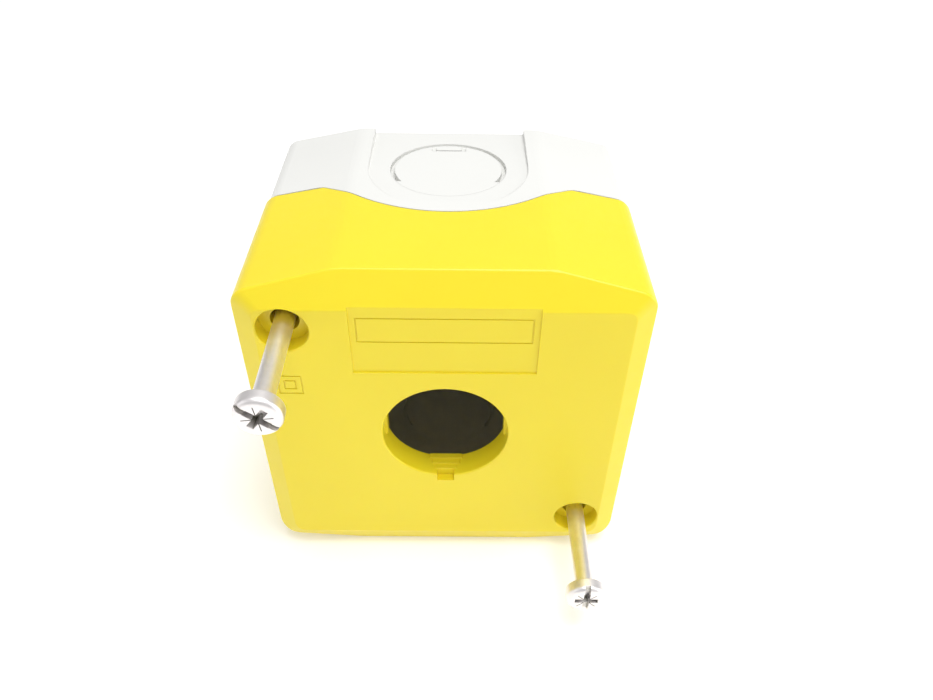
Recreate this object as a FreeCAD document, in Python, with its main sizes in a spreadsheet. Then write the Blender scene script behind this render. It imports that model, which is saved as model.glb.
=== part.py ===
import FreeCAD, Part
import math
import os
import Sketcher

# A small one-hole control-station enclosure, 68 x 68 x 53 mm: a yellow lid with an empty 22 mm
# push-button hole over a light grey base, joined by two long captive screws that stand backed out
# of the lid.
#
# Frame: origin at the centre of the flat back, +X right, +Y from the lid's face to the back, +Z up.
# The lid's face is at y = -case_depth. The case stands on its lower end wall.

AXIS_X = FreeCAD.Vector(1, 0, 0)
AXIS_Y = FreeCAD.Vector(0, 1, 0)
AXIS_Z = FreeCAD.Vector(0, 0, 1)
ALONG_Y = FreeCAD.Rotation(AXIS_X, -90)
SKETCH_ORIGIN = -1
START, END, CENTRE = 1, 2, 3
MIDDLE = (0, 0)
OVERLAP = 0.5  # how far joined shapes run into each other
CLEAR = 1.0  # how far a cutting shape runs past the surface that it cuts
TINY = 1e-4  # two places nearer than this are the same

DRIVING = [
    ("case_depth", 53.0, "face of the lid to the back of the base"),
    ("lid_half_width", 34.0, "outside of the lid's side walls"),
    ("lid_half_height", 34.0, "flat middle of the lid's end walls"),
    ("crown_half", 17.5, "half length of the flat middle of an end wall"),
    ("crown_drop", 3.4, "how far an end wall has fallen at the side wall"),
    ("lid_corner_radius", 3.6, "outer corner between end and side wall"),
    ("crown_radius", 9.0, "softening where an end wall starts to fall"),
    ("base_inset_side", 0.6, "base side wall inside the lid's"),
    ("base_inset_end", 0.15, "base end wall inside the lid's"),
    ("wall", 2.5, "wall thickness of both mouldings"),
    ("parting_depth", 30.5, "face to the parting line at the sides"),
    ("parting_gap", 0.45, "gap between lid and base at the parting line"),
    ("dip_depth", 9.8, "how far the parting line dips in the middle of an end wall"),
    ("dip_radius", 27.5, "arc at the bottom of the dip"),
    ("shoulder_half", 23.8, "where the parting line leaves its straight shoulder"),
    ("shoulder_radius", 3.0, "arc between the shoulder and the dip's flank"),
    ("face_half_width", 30.6, "flat face, to the side chamfer"),
    ("face_half_height", 28.3, "flat face, to the upper end chamfer"),
    ("lower_face_half", 29.1, "flat face, to the lower end chamfer"),
    ("side_chamfer_depth", 1.9, "side chamfer, along the depth"),
    ("end_chamfer_depth", 3.5, "upper end chamfer, along the depth"),
    ("lower_chamfer_depth", 2.0, "lower end chamfer, along the depth"),
    ("face_corner_radius", 3.6, "upper corner of the flat face"),
    ("lower_corner_radius", 5.5, "lower corner of the flat face"),
    ("edge_radius", 0.6, "softened edges round the face"),
    ("chamfer_radius", 0.5, "softened edges where the chamfers meet the walls"),
    ("rim_chamfer", 0.2, "broken edge of the push-button hole and the wells"),
    ("button_radius", 11.3, "push-button hole, for a 22 mm head"),
    ("button_land", 1.5, "straight stretch of the hole's wall, down to where the lugs begin"),
    ("button_collar", 4.75, "depth of the hole's wall with its collar"),
    ("button_draft_radius", 11.18, "hole at the inner end of the collar"),
    ("collar_radius", 14.6, "outside of the collar behind the hole"),
    ("notch_width", 3.2, "anti-rotation notch"),
    ("notch_reach", 12.8, "hole centre to the bottom of the notch"),
    ("lug_width", 6.2, "locating lug below the notch"),
    ("lug_reach", 10.5, "hole centre to the top of that lug"),
    ("side_lug_reach", 10.65, "hole centre to the side lugs"),
    ("side_lug_half", 2.6, "half length of a side lug"),
    ("screw_offset_x", 26.1, "lid screw from the middle, across"),
    ("screw_offset_z", 24.1, "lid screw from the middle, up"),
    ("well_radius", 4.28, "well for a screw head"),
    ("well_depth", 3.0, "well for a screw head"),
    ("web_radius", 2.4, "hole in the web under the well"),
    ("web_end", 7.0, "depth at which that hole opens into the wide bore"),
    ("column_radius", 5.2, "screw column in the lid and boss in the base"),
    ("column_end", 28.5, "depth at which the lid's column ends"),
    ("column_bore", 3.6, "wide bore of the column, for the retaining washer"),
    ("boss_start", 29.3, "depth of the top of the base's boss"),
    ("boss_bore", 2.6, "bore of the boss behind the insert"),
    ("boss_bore_end", 42.0, "depth at which that bore ends"),
    ("insert_radius", 2.9, "outside of the threaded insert"),
    ("insert_bore", 2.04, "inside of the threaded insert, over the thread's crests"),
    ("insert_length", 8.0, "threaded insert"),
    ("head_radius", 3.7, "screw head, M4 pan"),
    ("head_height", 2.5, "screw head"),
    ("head_round", 0.9, "rounded rim of the head"),
    ("slot_width", 0.92, "straight slot of the drive"),
    ("slot_depth", 0.9, "straight slot of the drive"),
    ("cross_width", 1.0, "arm of the cross of the drive"),
    ("cross_reach", 2.2, "screw axis to the end of an arm"),
    ("cross_depth", 1.8, "cross of the drive"),
    ("head_out", 17.0, "underside of a head in front of the face, with the screw fully backed out"),
    ("lower_screw_in", 0.7, "how far the lower screw has been left in from there"),
    ("shank_radius", 1.7, "plain shank"),
    ("thread_gap", 0.05, "retaining washer to the thread"),
    ("thread_radius", 1.98, "thread crests"),
    ("thread_root_radius", 1.58, "thread roots"),
    ("screw_length", 36.0, "under the head"),
    ("upper_drive_turn", 142.0, "degrees from +X to the slot of the upper screw"),
    ("lower_drive_turn", 90.0, "degrees from +X to the slot of the lower screw"),
    ("washer_radius", 3.4, "retaining washer"),
    ("washer_bore", 1.75, "retaining washer, running on the shank"),
    ("washer_thickness", 1.0, "retaining washer"),
    ("washer_gap", 0.1, "retaining washer to the web"),
    ("gasket_inset", 0.8, "outside of the lid to the gasket"),
    ("gasket_width", 1.2, "gasket across the rim"),
    ("gasket_depth", 1.5, "groove for the gasket in the lid's rim"),
    ("gasket_proud", 0.38, "gasket beyond the lid's rim"),
    ("gasket_play", 0.02, "gasket to each side of its groove"),
    ("wall_hole_x", 26.0, "wall-fixing hole from the middle, across"),
    ("wall_hole_z", 25.0, "wall-fixing hole from the middle, up"),
    ("wall_hole_radius", 2.15, "wall-fixing hole, for M4"),
    ("wall_rim_radius", 4.0, "raised rim round a wall-fixing hole"),
    ("wall_rim_height", 3.0, "raised rim round a wall-fixing hole"),
    ("knockout_depth", 16.0, "back to the centre of a knock-out"),
    ("knockout_radius", 10.05, "disc of a knock-out, for an M20 gland"),
    ("knockout_groove", 0.85, "groove round that disc"),
    ("knockout_inner_groove", 0.5, "depth of the same groove on the inside"),
    ("knockout_web", 0.6, "thin web that holds the disc"),
    ("hinge_start", 21.3, "back to where the groove ends and the disc hinges on the full wall"),
    ("pry_half_width", 3.3, "screwdriver slot in the disc"),
    ("pry_depth", 2.4, "screwdriver slot in the disc, along the case"),
    ("pry_rib_inset", 0.4, "edge of that slot to the rib inside it"),
    ("gland_half_width", 15.0, "flat recess for a gland nut"),
    ("gland_depth", 1.2, "that recess at the back edge"),
    ("gland_slope", 2.4, "degrees that its floor rises towards the lid"),
    ("label_half_width", 15.4, "shallow recess for a legend"),
    ("label_bottom", 15.1, "lower edge of that recess"),
    ("label_depth", 0.3, "depth of that recess"),
    ("frame_inset", 1.05, "side of the legend recess to its fine frame"),
    ("frame_low", 6.5, "lower edge of the legend recess to the fine frame"),
    ("frame_high", 11.6, "lower edge of the legend recess to the frame's upper line"),
    ("mark_x", -26.3, "double square mark from the middle, across"),
    ("mark_z", 12.2, "double square mark from the middle, up"),
    ("mark_outer_half", 2.1, "outer square"),
    ("mark_inner_half", 1.05, "inner square"),
    ("mark_line", 0.22, "width of the fine moulded lines on the face"),
    ("mark_depth", 0.14, "depth of those lines"),
    ("reach", 60.0, "beyond the case, for cutting tools"),
]


class Size:
    """A length that knows its number and the sheet expression that gives it."""

    def __init__(self, value, text):
        self.value = value
        self.text = text

    def __add__(self, other):
        other = size_of(other)
        return Size(self.value + other.value, f"({self.text} + {other.text})")

    def __sub__(self, other):
        other = size_of(other)
        return Size(self.value - other.value, f"({self.text} - {other.text})")

    def __mul__(self, other):
        other = size_of(other)
        return Size(self.value * other.value, f"({self.text} * {other.text})")

    def __truediv__(self, other):
        other = size_of(other)
        return Size(self.value / other.value, f"({self.text} / {other.text})")

    def __neg__(self):
        return Size(-self.value, f"(-{self.text})")


def size_of(length):
    """The length as a Size; a plain number stays itself in the expression."""
    if isinstance(length, Size):
        return length
    return Size(float(length), f"({length})")


doc = FreeCAD.newDocument("control_station")
sheet = doc.addObject("Spreadsheet::Sheet", "sizes")
for row, (alias, number, meaning) in enumerate(DRIVING, start=1):
    sheet.set(f"A{row}", alias)
    sheet.set(f"B{row}", str(number))
    sheet.set(f"C{row}", meaning)
    sheet.setAlias(f"B{row}", alias)
doc.recompute()


class Sheet:
    """The driving dimensions, each read from its cell as a Size."""

    def __getattr__(self, alias):
        return Size(float(sheet.get(alias)), f"sizes.{alias}")


D = Sheet()


# ---------------------------------------------------------------- helpers

def bind(thing, path, length):
    """Drive one property of an object from the sheet."""
    thing.setExpression(path, size_of(length).text)


def depth(length):
    """The y place of a depth measured from the lid's face."""
    return size_of(length) - D.case_depth


def box(name, x, y, z):
    """A block between two places on each axis."""
    block = doc.addObject("Part::Box", name)
    for side, axis, (low, high) in zip(("Length", "Width", "Height"), "xyz", (x, y, z)):
        bind(block, side, size_of(high) - low)
        bind(block, f"Placement.Base.{axis}", low)
    return block


def round_bar(name, radius, centre, y):
    """A cylinder along Y round the centre (x, z), from y[0] to y[1]."""
    bar = doc.addObject("Part::Cylinder", name)
    bar.Placement = FreeCAD.Placement(FreeCAD.Vector(), ALONG_Y)
    bind(bar, "Radius", radius)
    bind(bar, "Height", size_of(y[1]) - y[0])
    bind(bar, "Placement.Base.x", centre[0])
    bind(bar, "Placement.Base.y", y[0])
    bind(bar, "Placement.Base.z", centre[1])
    return bar


def taper(name, radii, centre, y):
    """A cone along Y round the centre (x, z)."""
    cone = doc.addObject("Part::Cone", name)
    cone.Placement = FreeCAD.Placement(FreeCAD.Vector(), ALONG_Y)
    bind(cone, "Radius1", radii[0])
    bind(cone, "Radius2", radii[1])
    bind(cone, "Height", size_of(y[1]) - y[0])
    bind(cone, "Placement.Base.x", centre[0])
    bind(cone, "Placement.Base.y", y[0])
    bind(cone, "Placement.Base.z", centre[1])
    return cone


def broken_edge(name, radius, centre):
    """The small chamfer where a round hole meets the lid's face."""
    wide = radius + D.rim_chamfer
    return taper(name, (wide + D.rim_chamfer, radius), centre, (FACE - D.rim_chamfer, FACE + D.rim_chamfer))


def post(name, radius, y, z):
    """A cylinder along Z in the middle of an end wall."""
    bar = doc.addObject("Part::Cylinder", name)
    bind(bar, "Radius", radius)
    bind(bar, "Height", size_of(z[1]) - z[0])
    bind(bar, "Placement.Base.y", y)
    bind(bar, "Placement.Base.z", z[0])
    return bar


def fuse(name, shapes):
    joined = doc.addObject("Part::MultiFuse", name)
    joined.Shapes = shapes
    joined.Refine = True
    return joined


def cut(name, base, tools):
    """The base less one tool, or less several joined ones."""
    result = doc.addObject("Part::Cut", name)
    result.Base = base
    result.Tool = tools[0] if len(tools) == 1 else fuse(f"{name}_tools", tools)
    result.Refine = True
    return result


def common(name, shapes):
    shared = doc.addObject("Part::MultiCommon", name)
    shared.Shapes = shapes
    shared.Refine = True
    return shared


def mirrored(name, source):
    """The same piece on the other end wall."""
    copy = doc.addObject("Part::Mirroring", name)
    copy.Source = source
    copy.Normal = AXIS_Z
    return copy


def softened(name, base, radius, wanted):
    """Fillets on each straight or curved edge that the test picks."""
    doc.recompute()
    result = doc.addObject("Part::Fillet", name)
    result.Base = base
    edges = [(index, radius.value, radius.value)
             for index, edge in enumerate(base.Shape.Edges, start=1) if wanted(edge)]
    result.Edges = edges
    return result


# ---------------------------------------------------------------- sketches

def plane_sketch(body, name, role, offset):
    """A sketch on one of the body's own origin planes, moved along its normal."""
    sketch = body.newObject("Sketcher::SketchObject", name)
    plane = next(item for item in body.Origin.OriginFeatures if item.Role == role)
    sketch.AttachmentSupport = [(plane, "")]
    sketch.MapMode = "FlatFace"
    bind(sketch, "AttachmentOffset.Base.z", offset)
    return sketch


def dimension(sketch, kind, *where, length):
    """A driving constraint bound to the sheet."""
    length = size_of(length)
    index = sketch.addConstraint(Sketcher.Constraint(kind, *where, length.value))
    label = f"size_{index}"
    sketch.renameConstraint(index, label)
    bind(sketch, f"Constraints.{label}", length)


def fix_point(sketch, geometry, vertex, place):
    """Hold a point at its place from the sketch's origin."""
    dimension(sketch, "DistanceX", SKETCH_ORIGIN, 1, geometry, vertex, length=place[0])
    dimension(sketch, "DistanceY", SKETCH_ORIGIN, 1, geometry, vertex, length=place[1])


def flat(place):
    return FreeCAD.Vector(size_of(place[0]).value, size_of(place[1]).value, 0)


def polyline(sketch, places, closed=True):
    """Straight lines through the places, each corner held; returns their numbers."""
    pairs = list(zip(places, places[1:] + places[:1] if closed else places[1:]))
    lines = [sketch.addGeometry(Part.LineSegment(flat(a), flat(b)), False) for a, b in pairs]
    for line, (corner, _) in zip(lines, pairs):
        fix_point(sketch, line, START, corner)
    if not closed:
        fix_point(sketch, lines[-1], END, pairs[-1][1])
    for line, following in zip(lines, lines[1:] + (lines[:1] if closed else [])):
        sketch.addConstraint(Sketcher.Constraint("Coincident", line, END, following, START))
    return lines


def rounded_polygon(sketch, corners):
    """A convex outline of lines and tangent arcs. Each corner is (x, y, radius), in anticlockwise order."""
    places = [flat(corner) for corner in corners]
    radii = [size_of(corner[2]) for corner in corners]
    starts, ends, centres = [], [], []
    for index, place in enumerate(places):
        back = (places[index - 1] - place).normalize()
        onward = (places[(index + 1) % len(places)] - place).normalize()
        half_angle = back.getAngle(onward) / 2
        setback = radii[index].value / math.tan(half_angle)
        starts.append(place + back * setback)
        ends.append(place + onward * setback)
        middle = (back + onward).normalize()
        centres.append(place + middle * (radii[index].value / math.sin(half_angle)))
    lines, arcs = [], []
    for index, centre in enumerate(centres):
        first = (starts[index] - centre).getAngle(FreeCAD.Vector(1, 0, 0))
        first = first if starts[index].y >= centre.y else -first
        last = (ends[index] - centre).getAngle(FreeCAD.Vector(1, 0, 0))
        last = last if ends[index].y >= centre.y else -last
        ring = Part.Circle(centre, AXIS_Z, radii[index].value)
        arcs.append(sketch.addGeometry(Part.ArcOfCircle(ring, first, last), False))
        following = (index + 1) % len(places)
        lines.append(sketch.addGeometry(Part.LineSegment(ends[index], starts[following]), False))
    for index, arc in enumerate(arcs):
        before = lines[index - 1]
        after = lines[index]
        sketch.addConstraint(Sketcher.Constraint("Tangent", before, END, arc, START))
        sketch.addConstraint(Sketcher.Constraint("Tangent", arc, END, after, START))
        dimension(sketch, "Radius", arc, length=radii[index])
        corner = sketch.addGeometry(Part.Point(places[index]), True)
        fix_point(sketch, corner, START, corners[index])
        sketch.addConstraint(Sketcher.Constraint("PointOnObject", corner, START, before))
        sketch.addConstraint(Sketcher.Constraint("PointOnObject", corner, START, after))


def case_outline(sketch, inset_side, inset_end):
    """The case's section across its depth: end walls that fall a little towards the side walls."""
    corner_radius = D.lid_corner_radius - inset_side
    side = D.lid_half_width - inset_side
    end = D.lid_half_height - inset_end
    shoulder = end - D.crown_drop
    flat_half = D.crown_half
    quarter = [(side, shoulder, corner_radius), (flat_half, end, D.crown_radius)]
    right_top = quarter
    left_top = [(-x, z, radius) for x, z, radius in reversed(quarter)]
    left_low = [(-x, -z, radius) for x, z, radius in quarter]
    right_low = [(x, -z, radius) for x, z, radius in reversed(quarter)]
    rounded_polygon(sketch, right_top + left_top + left_low + right_low)


def case_prism(name, outlines, y):
    """A straight prism of the case's section. A second, smaller outline makes it a ring."""
    body = doc.addObject("PartDesign::Body", name)
    sketch = plane_sketch(body, f"{name}_outline", "XZ_Plane", -size_of(y[1]))
    for outline in outlines:
        case_outline(sketch, *outline)
    pad = body.newObject("PartDesign::Pad", f"{name}_pad")
    pad.Profile = sketch
    bind(pad, "Length", size_of(y[1]) - y[0])
    sketch.Visibility = False
    return body


def parting_region(name, shift, towards):
    """All that lies behind (towards = 1) or in front of (-1) the parting line, moved back by shift."""
    body = doc.addObject("PartDesign::Body", name)
    sketch = plane_sketch(body, f"{name}_outline", "XY_Plane", 0)
    level = depth(D.parting_depth) + shift
    blend_y = level - D.shoulder_radius
    dip_y = level - D.dip_depth + D.dip_radius
    far = D.reach

    across = D.shoulder_half.value
    along = (dip_y - blend_y).value
    radii = (D.shoulder_radius + D.dip_radius).value
    slope = math.asin(radii / math.hypot(across, along)) - math.atan2(along, across)

    def arc(centre, radius, first, last):
        ring = Part.Circle(flat(centre), AXIS_Z, radius.value)
        return sketch.addGeometry(Part.ArcOfCircle(ring, first, last), False)

    def line(start, finish):
        return sketch.addGeometry(Part.LineSegment(start, finish), False)

    up = math.pi / 2
    left_blend = arc((-D.shoulder_half, blend_y), D.shoulder_radius, up - slope, up)
    dip = arc((0, dip_y), D.dip_radius, 3 * up - slope, 3 * up + slope)
    right_blend = arc((D.shoulder_half, blend_y), D.shoulder_radius, up, up + slope)

    def end_of(geometry, vertex):
        return sketch.getPoint(geometry, vertex)

    left_flank = line(end_of(left_blend, START), end_of(dip, START))
    right_flank = line(end_of(dip, END), end_of(right_blend, END))
    left_shoulder = line(flat((-far, level)), end_of(left_blend, END))
    right_shoulder = line(end_of(right_blend, START), flat((far, level)))
    chain = [
        (left_shoulder, END, left_blend, END),
        (left_blend, START, left_flank, START),
        (left_flank, END, dip, START),
        (dip, END, right_flank, START),
        (right_flank, END, right_blend, END),
        (right_blend, START, right_shoulder, START),
    ]
    for link in chain:
        sketch.addConstraint(Sketcher.Constraint("Tangent", *link))
    fix_point(sketch, left_blend, CENTRE, (-D.shoulder_half, blend_y))
    fix_point(sketch, right_blend, CENTRE, (D.shoulder_half, blend_y))
    fix_point(sketch, dip, CENTRE, (0, dip_y))
    dimension(sketch, "Radius", dip, length=D.dip_radius)
    dimension(sketch, "Radius", left_blend, length=D.shoulder_radius)
    dimension(sketch, "Radius", right_blend, length=D.shoulder_radius)
    back = far * towards
    closing = polyline(sketch, [(far, level), (far, back), (-far, back), (-far, level)], closed=False)
    sketch.addConstraint(Sketcher.Constraint("Coincident", right_shoulder, END, closing[0], START))
    sketch.addConstraint(Sketcher.Constraint("Coincident", left_shoulder, START, closing[-1], END))

    pad = body.newObject("PartDesign::Pad", f"{name}_pad")
    pad.Profile = sketch
    pad.Midplane = True
    bind(pad, "Length", D.reach * 2)
    return body


# ---------------------------------------------------------------- lid

UPPER = (-D.screw_offset_x, D.screw_offset_z)
LOWER = (D.screw_offset_x, -D.screw_offset_z)
SCREW_PLACES = {"upper": UPPER, "lower": LOWER}
WALL_HOLES = {"upper": (D.wall_hole_x, D.wall_hole_z), "lower": (-D.wall_hole_x, -D.wall_hole_z)}
DRIVE_TURNS = {"upper": D.upper_drive_turn, "lower": D.lower_drive_turn}
LEFT_IN = {"upper": 0, "lower": D.lower_screw_in}
FACE = depth(0)
CASE_BACK = size_of(0)
LUG_STEPS = 3


def face_pyramid():
    """A truncated pyramid whose slopes are the chamfers round the lid's face."""
    wedge = doc.addObject("Part::Wedge", "chamfer_pyramid")
    run = D.reach / 2
    side = D.face_half_width + run * (D.lid_half_width - D.face_half_width) / D.side_chamfer_depth
    end = D.face_half_height + run * (D.lid_half_height - D.face_half_height) / D.end_chamfer_depth
    low = D.lower_face_half + run * (D.lid_half_height - D.lower_face_half) / D.lower_chamfer_depth
    bind(wedge, "Ymin", FACE)
    bind(wedge, "Ymax", FACE + run)
    for path, length in (("Xmin", -D.face_half_width), ("Xmax", D.face_half_width),
                         ("Zmin", -D.lower_face_half), ("Zmax", D.face_half_height),
                         ("X2min", -side), ("X2max", side), ("Z2min", -low), ("Z2max", end)):
        bind(wedge, path, length)

    def slanted(edge):
        ends = [vertex.Point for vertex in edge.Vertexes]
        return abs(ends[0].y - ends[1].y) > CLEAR

    def upper_corner(edge):
        return slanted(edge) and edge.CenterOfMass.z > CLEAR

    def lower_corner(edge):
        return slanted(edge) and edge.CenterOfMass.z < -CLEAR

    upper_soft = softened("chamfer_pyramid_soft", wedge, D.face_corner_radius, upper_corner)
    return softened("chamfer_pyramid_softer", upper_soft, D.lower_corner_radius, lower_corner)


def lid_block():
    """The outside of the lid, solid."""
    prism = case_prism("lid_prism", [(0, 0)], (FACE, depth(D.parting_depth) + D.parting_gap))
    block = common("lid_block", [prism, face_pyramid()])
    face_y = FACE.value
    chamfer_end = face_y + D.end_chamfer_depth.value + D.wall.value / 10

    def round_the_face(edge):
        points = [edge.valueAt(edge.FirstParameter), edge.valueAt(edge.LastParameter)]
        return all(abs(point.y - face_y) < TINY for point in points)

    def chamfer_to_wall(edge):
        bounds = edge.BoundBox
        return bounds.YMin > face_y + TINY and bounds.YMax < chamfer_end

    soft_face = softened("lid_block_face", block, D.edge_radius, round_the_face)
    return softened("lid_block_soft", soft_face, D.chamfer_radius, chamfer_to_wall)


def button_lugs():
    """The stepped locating lug below the notch and the two side lugs, at the inner end of the hole."""
    lugs = []
    rooted = D.button_radius + OVERLAP
    back = depth(D.button_collar)
    step_depth = (D.button_collar - D.button_land) / LUG_STEPS
    for step in range(LUG_STEPS):
        share = (step + 1) / LUG_STEPS
        half_width = (D.notch_width + (D.lug_width - D.notch_width) * share) / 2
        reach = D.button_radius - (D.button_radius - D.lug_reach) * share
        start = depth(D.button_land) + step_depth * step
        lugs.append(box(f"notch_lug_{step + 1}", (-half_width, half_width), (start, back), (-rooted, -reach)))
    side_y = (depth(D.button_land) + step_depth, back)
    side_z = (-D.side_lug_half, D.side_lug_half)
    lugs.append(box("left_lug", (-rooted, -D.side_lug_reach), side_y, side_z))
    lugs.append(box("right_lug", (D.side_lug_reach, rooted), side_y, side_z))
    return lugs


def frame_line(name, x, z, top):
    """A fine rectangular line cut into the face."""
    floor = depth(top + D.mark_depth)
    outer = box(f"{name}_outer", x, (FACE - CLEAR, floor), z)
    inner_x = (size_of(x[0]) + D.mark_line, size_of(x[1]) - D.mark_line)
    inner_z = (size_of(z[0]) + D.mark_line, size_of(z[1]) - D.mark_line)
    inner = box(f"{name}_inner", inner_x, (FACE - CLEAR * 2, floor + CLEAR), inner_z)
    return cut(name, outer, [inner])


def face_marks():
    """The blank legend recess with its fine frame, and the double square of an all-insulated case."""
    legend = box("legend_recess", (-D.label_half_width, D.label_half_width),
                 (FACE - CLEAR, depth(D.label_depth)), (D.label_bottom, D.lid_half_height))
    frame_half = D.label_half_width - D.frame_inset
    frame_z = (D.label_bottom + D.frame_low, D.label_bottom + D.frame_high)
    frame = frame_line("legend_frame", (-frame_half, frame_half), frame_z, D.label_depth)
    squares = []
    for name, half in (("outer", D.mark_outer_half), ("inner", D.mark_inner_half)):
        square_x = (D.mark_x - half, D.mark_x + half)
        square_z = (D.mark_z - half, D.mark_z + half)
        squares.append(frame_line(f"{name}_square", square_x, square_z, size_of(0)))
    return [legend, frame] + squares


def make_lid():
    front = FACE - CLEAR
    cavity = case_prism("lid_cavity", [(D.wall, D.wall)], (depth(D.wall), depth(D.parting_depth) + CLEAR))
    shell = cut("lid_shell", lid_block(), [cavity])
    inner_face = depth(D.wall) - OVERLAP
    land = depth(D.button_land)
    collar_end = depth(D.button_collar)
    solids = [shell, round_bar("collar", D.collar_radius, MIDDLE, (inner_face, collar_end))]
    holes = [
        round_bar("button_hole", D.button_radius, MIDDLE, (front, land)),
        taper("button_draft", (D.button_radius, D.button_draft_radius), MIDDLE, (land, collar_end)),
        box("notch", (-D.notch_width / 2, D.notch_width / 2), (front, land),
            (-D.notch_reach, -D.button_radius + CLEAR)),
        broken_edge("button_rim", D.button_radius, MIDDLE),
    ]
    for name, place in SCREW_PLACES.items():
        bore_y = (depth(D.web_end), depth(D.column_end) + CLEAR)
        solids.append(round_bar(f"{name}_column", D.column_radius, place, (inner_face, depth(D.column_end))))
        holes.append(round_bar(f"{name}_well", D.well_radius, place, (front, depth(D.well_depth))))
        holes.append(broken_edge(f"{name}_well_rim", D.well_radius, place))
        holes.append(round_bar(f"{name}_web_hole", D.web_radius, place, (FACE, depth(D.web_end) + CLEAR)))
        holes.append(round_bar(f"{name}_wide_bore", D.column_bore, place, bore_y))
    half_gap = D.parting_gap / 2
    holes.append(parting_region("behind_the_lid", -half_gap, 1))
    groove_ring = case_prism("groove_ring", gasket_outlines(0), (before_the_dip(), CASE_BACK))
    groove_behind = parting_region("behind_the_groove", -half_gap - D.gasket_depth, 1)
    holes.append(common("gasket_groove", [groove_ring, groove_behind]))
    holes += face_marks()
    solid = fuse("lid_solid", solids)
    return fuse("lid", [cut("lid_bored", solid, holes)] + button_lugs())


# ---------------------------------------------------------------- gasket

def gasket_outlines(play):
    """Outer and inner outline of the gasket's groove, less some play at each wall."""
    outer = D.gasket_inset + play
    inner = D.gasket_inset + D.gasket_width - play
    return [(outer, outer), (inner, inner)]


def before_the_dip():
    """A place well in front of the groove, where the parting line comes nearest to the face."""
    return depth(D.parting_depth - D.dip_depth - D.gasket_depth * 2)


def make_gasket():
    half_gap = D.parting_gap / 2
    ring = case_prism("gasket_ring", gasket_outlines(D.gasket_play), (before_the_dip(), CASE_BACK))
    behind = parting_region("behind_the_gasket_floor", -half_gap - D.gasket_depth, 1)
    beyond = parting_region("beyond_the_gasket", -half_gap + D.gasket_proud, 1)
    return cut("lid_gasket", common("gasket_band", [ring, behind]), [beyond])


# ---------------------------------------------------------------- base

def gland_recess():
    """The sloping flat at an end wall that a gland's nut sits on, open at the back edge."""
    tall = (0, D.gland_depth * 3)
    channel = box("gland_channel", (-D.gland_half_width, D.gland_half_width),
                  (-D.knockout_depth, CLEAR), tall)
    bowl = post("gland_bowl", D.gland_half_width, -D.knockout_depth, tall)
    recess = fuse("gland_recess", [channel, bowl])
    recess.Placement = FreeCAD.Placement(FreeCAD.Vector(), FreeCAD.Rotation(AXIS_X, -D.gland_slope.value))
    bind(recess, "Placement.Base.z", D.lid_half_height - D.base_inset_end - D.gland_depth)
    return recess


def make_base(recess):
    outer = (D.base_inset_side, D.base_inset_end)
    inner = (D.base_inset_side + D.wall, D.base_inset_end + D.wall)
    front = depth(D.parting_depth - D.dip_depth)
    block = case_prism("base_prism", [outer], (front, CASE_BACK))

    def back_edge(edge):
        bounds = edge.BoundBox
        return abs(bounds.YMin) < TINY and abs(bounds.YMax) < TINY

    block = softened("base_block", block, D.edge_radius, back_edge)
    floor = CASE_BACK - D.wall
    cavity = case_prism("base_cavity", [inner], (front - CLEAR, floor))
    solids = [cut("base_shell", block, [cavity])]
    holes = []
    for name, place in SCREW_PLACES.items():
        boss_top = depth(D.boss_start)
        seat = (boss_top - CLEAR, boss_top + D.insert_length)
        bore = (boss_top, depth(D.boss_bore_end))
        solids.append(round_bar(f"{name}_boss", D.column_radius, place, (boss_top, floor + OVERLAP)))
        holes.append(round_bar(f"{name}_insert_seat", D.insert_radius, place, seat))
        holes.append(round_bar(f"{name}_boss_bore", D.boss_bore, place, bore))
    for name, fixing in WALL_HOLES.items():
        rim_top = floor - D.wall_rim_height
        through = (rim_top - CLEAR, CASE_BACK + CLEAR)
        solids.append(round_bar(f"{name}_wall_rim", D.wall_rim_radius, fixing, (rim_top, floor + OVERLAP)))
        holes.append(round_bar(f"{name}_wall_hole", D.wall_hole_radius, fixing, through))
    opening = post("upper_gland_hole", D.knockout_radius + D.knockout_groove, -D.knockout_depth,
                   (D.lid_half_height - D.wall * 2, D.lid_half_height + CLEAR))
    holes += [opening, mirrored("lower_gland_hole", opening)]
    holes += [recess, mirrored("lower_gland_recess", recess)]
    holes.append(parting_region("before_the_base", D.parting_gap / 2, -1))
    return cut("base", fuse("base_solid", solids), holes)


def make_knockouts(recess):
    """The two break-out discs, each held in its hole by a thin web and hinged at the lid's side."""
    inner_face = D.lid_half_height - D.base_inset_end - D.wall
    disc = post("knockout_disc", D.knockout_radius, -D.knockout_depth, (inner_face, D.lid_half_height))
    web_face = inner_face + D.knockout_inner_groove
    web = post("knockout_web_ring", D.knockout_radius + D.knockout_groove, -D.knockout_depth,
               (web_face, web_face + D.knockout_web))
    hinge_z = (inner_face, D.lid_half_height)
    hinge_ring = post("hinge_ring", D.knockout_radius + D.knockout_groove, -D.knockout_depth, hinge_z)
    hinge_part = box("hinge_part", (-D.reach, D.reach), (-D.reach, -D.hinge_start), hinge_z)
    hinge = common("knockout_hinge", [hinge_ring, hinge_part])
    disc_back = D.knockout_radius - D.knockout_depth
    slot_y = (disc_back - D.pry_depth, disc_back + CLEAR)
    slot_z = (web_face + D.knockout_web, D.lid_half_height + CLEAR)
    slot = box("pry_slot", (-D.pry_half_width, D.pry_half_width), slot_y, slot_z)
    rib_half = D.pry_half_width - D.knockout_groove
    rib = box("pry_rib", (-rib_half, rib_half), (slot_y[0] + D.pry_rib_inset, slot_y[1]),
              (slot_z[0] - OVERLAP, slot_z[1] + CLEAR))
    blank = fuse("knockout_blank", [disc, web, hinge])
    upper = cut("upper_knockout", blank, [recess, cut("pry_groove", slot, [rib])])
    return [upper, mirrored("lower_knockout", upper)]


# ---------------------------------------------------------------- screws

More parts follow.
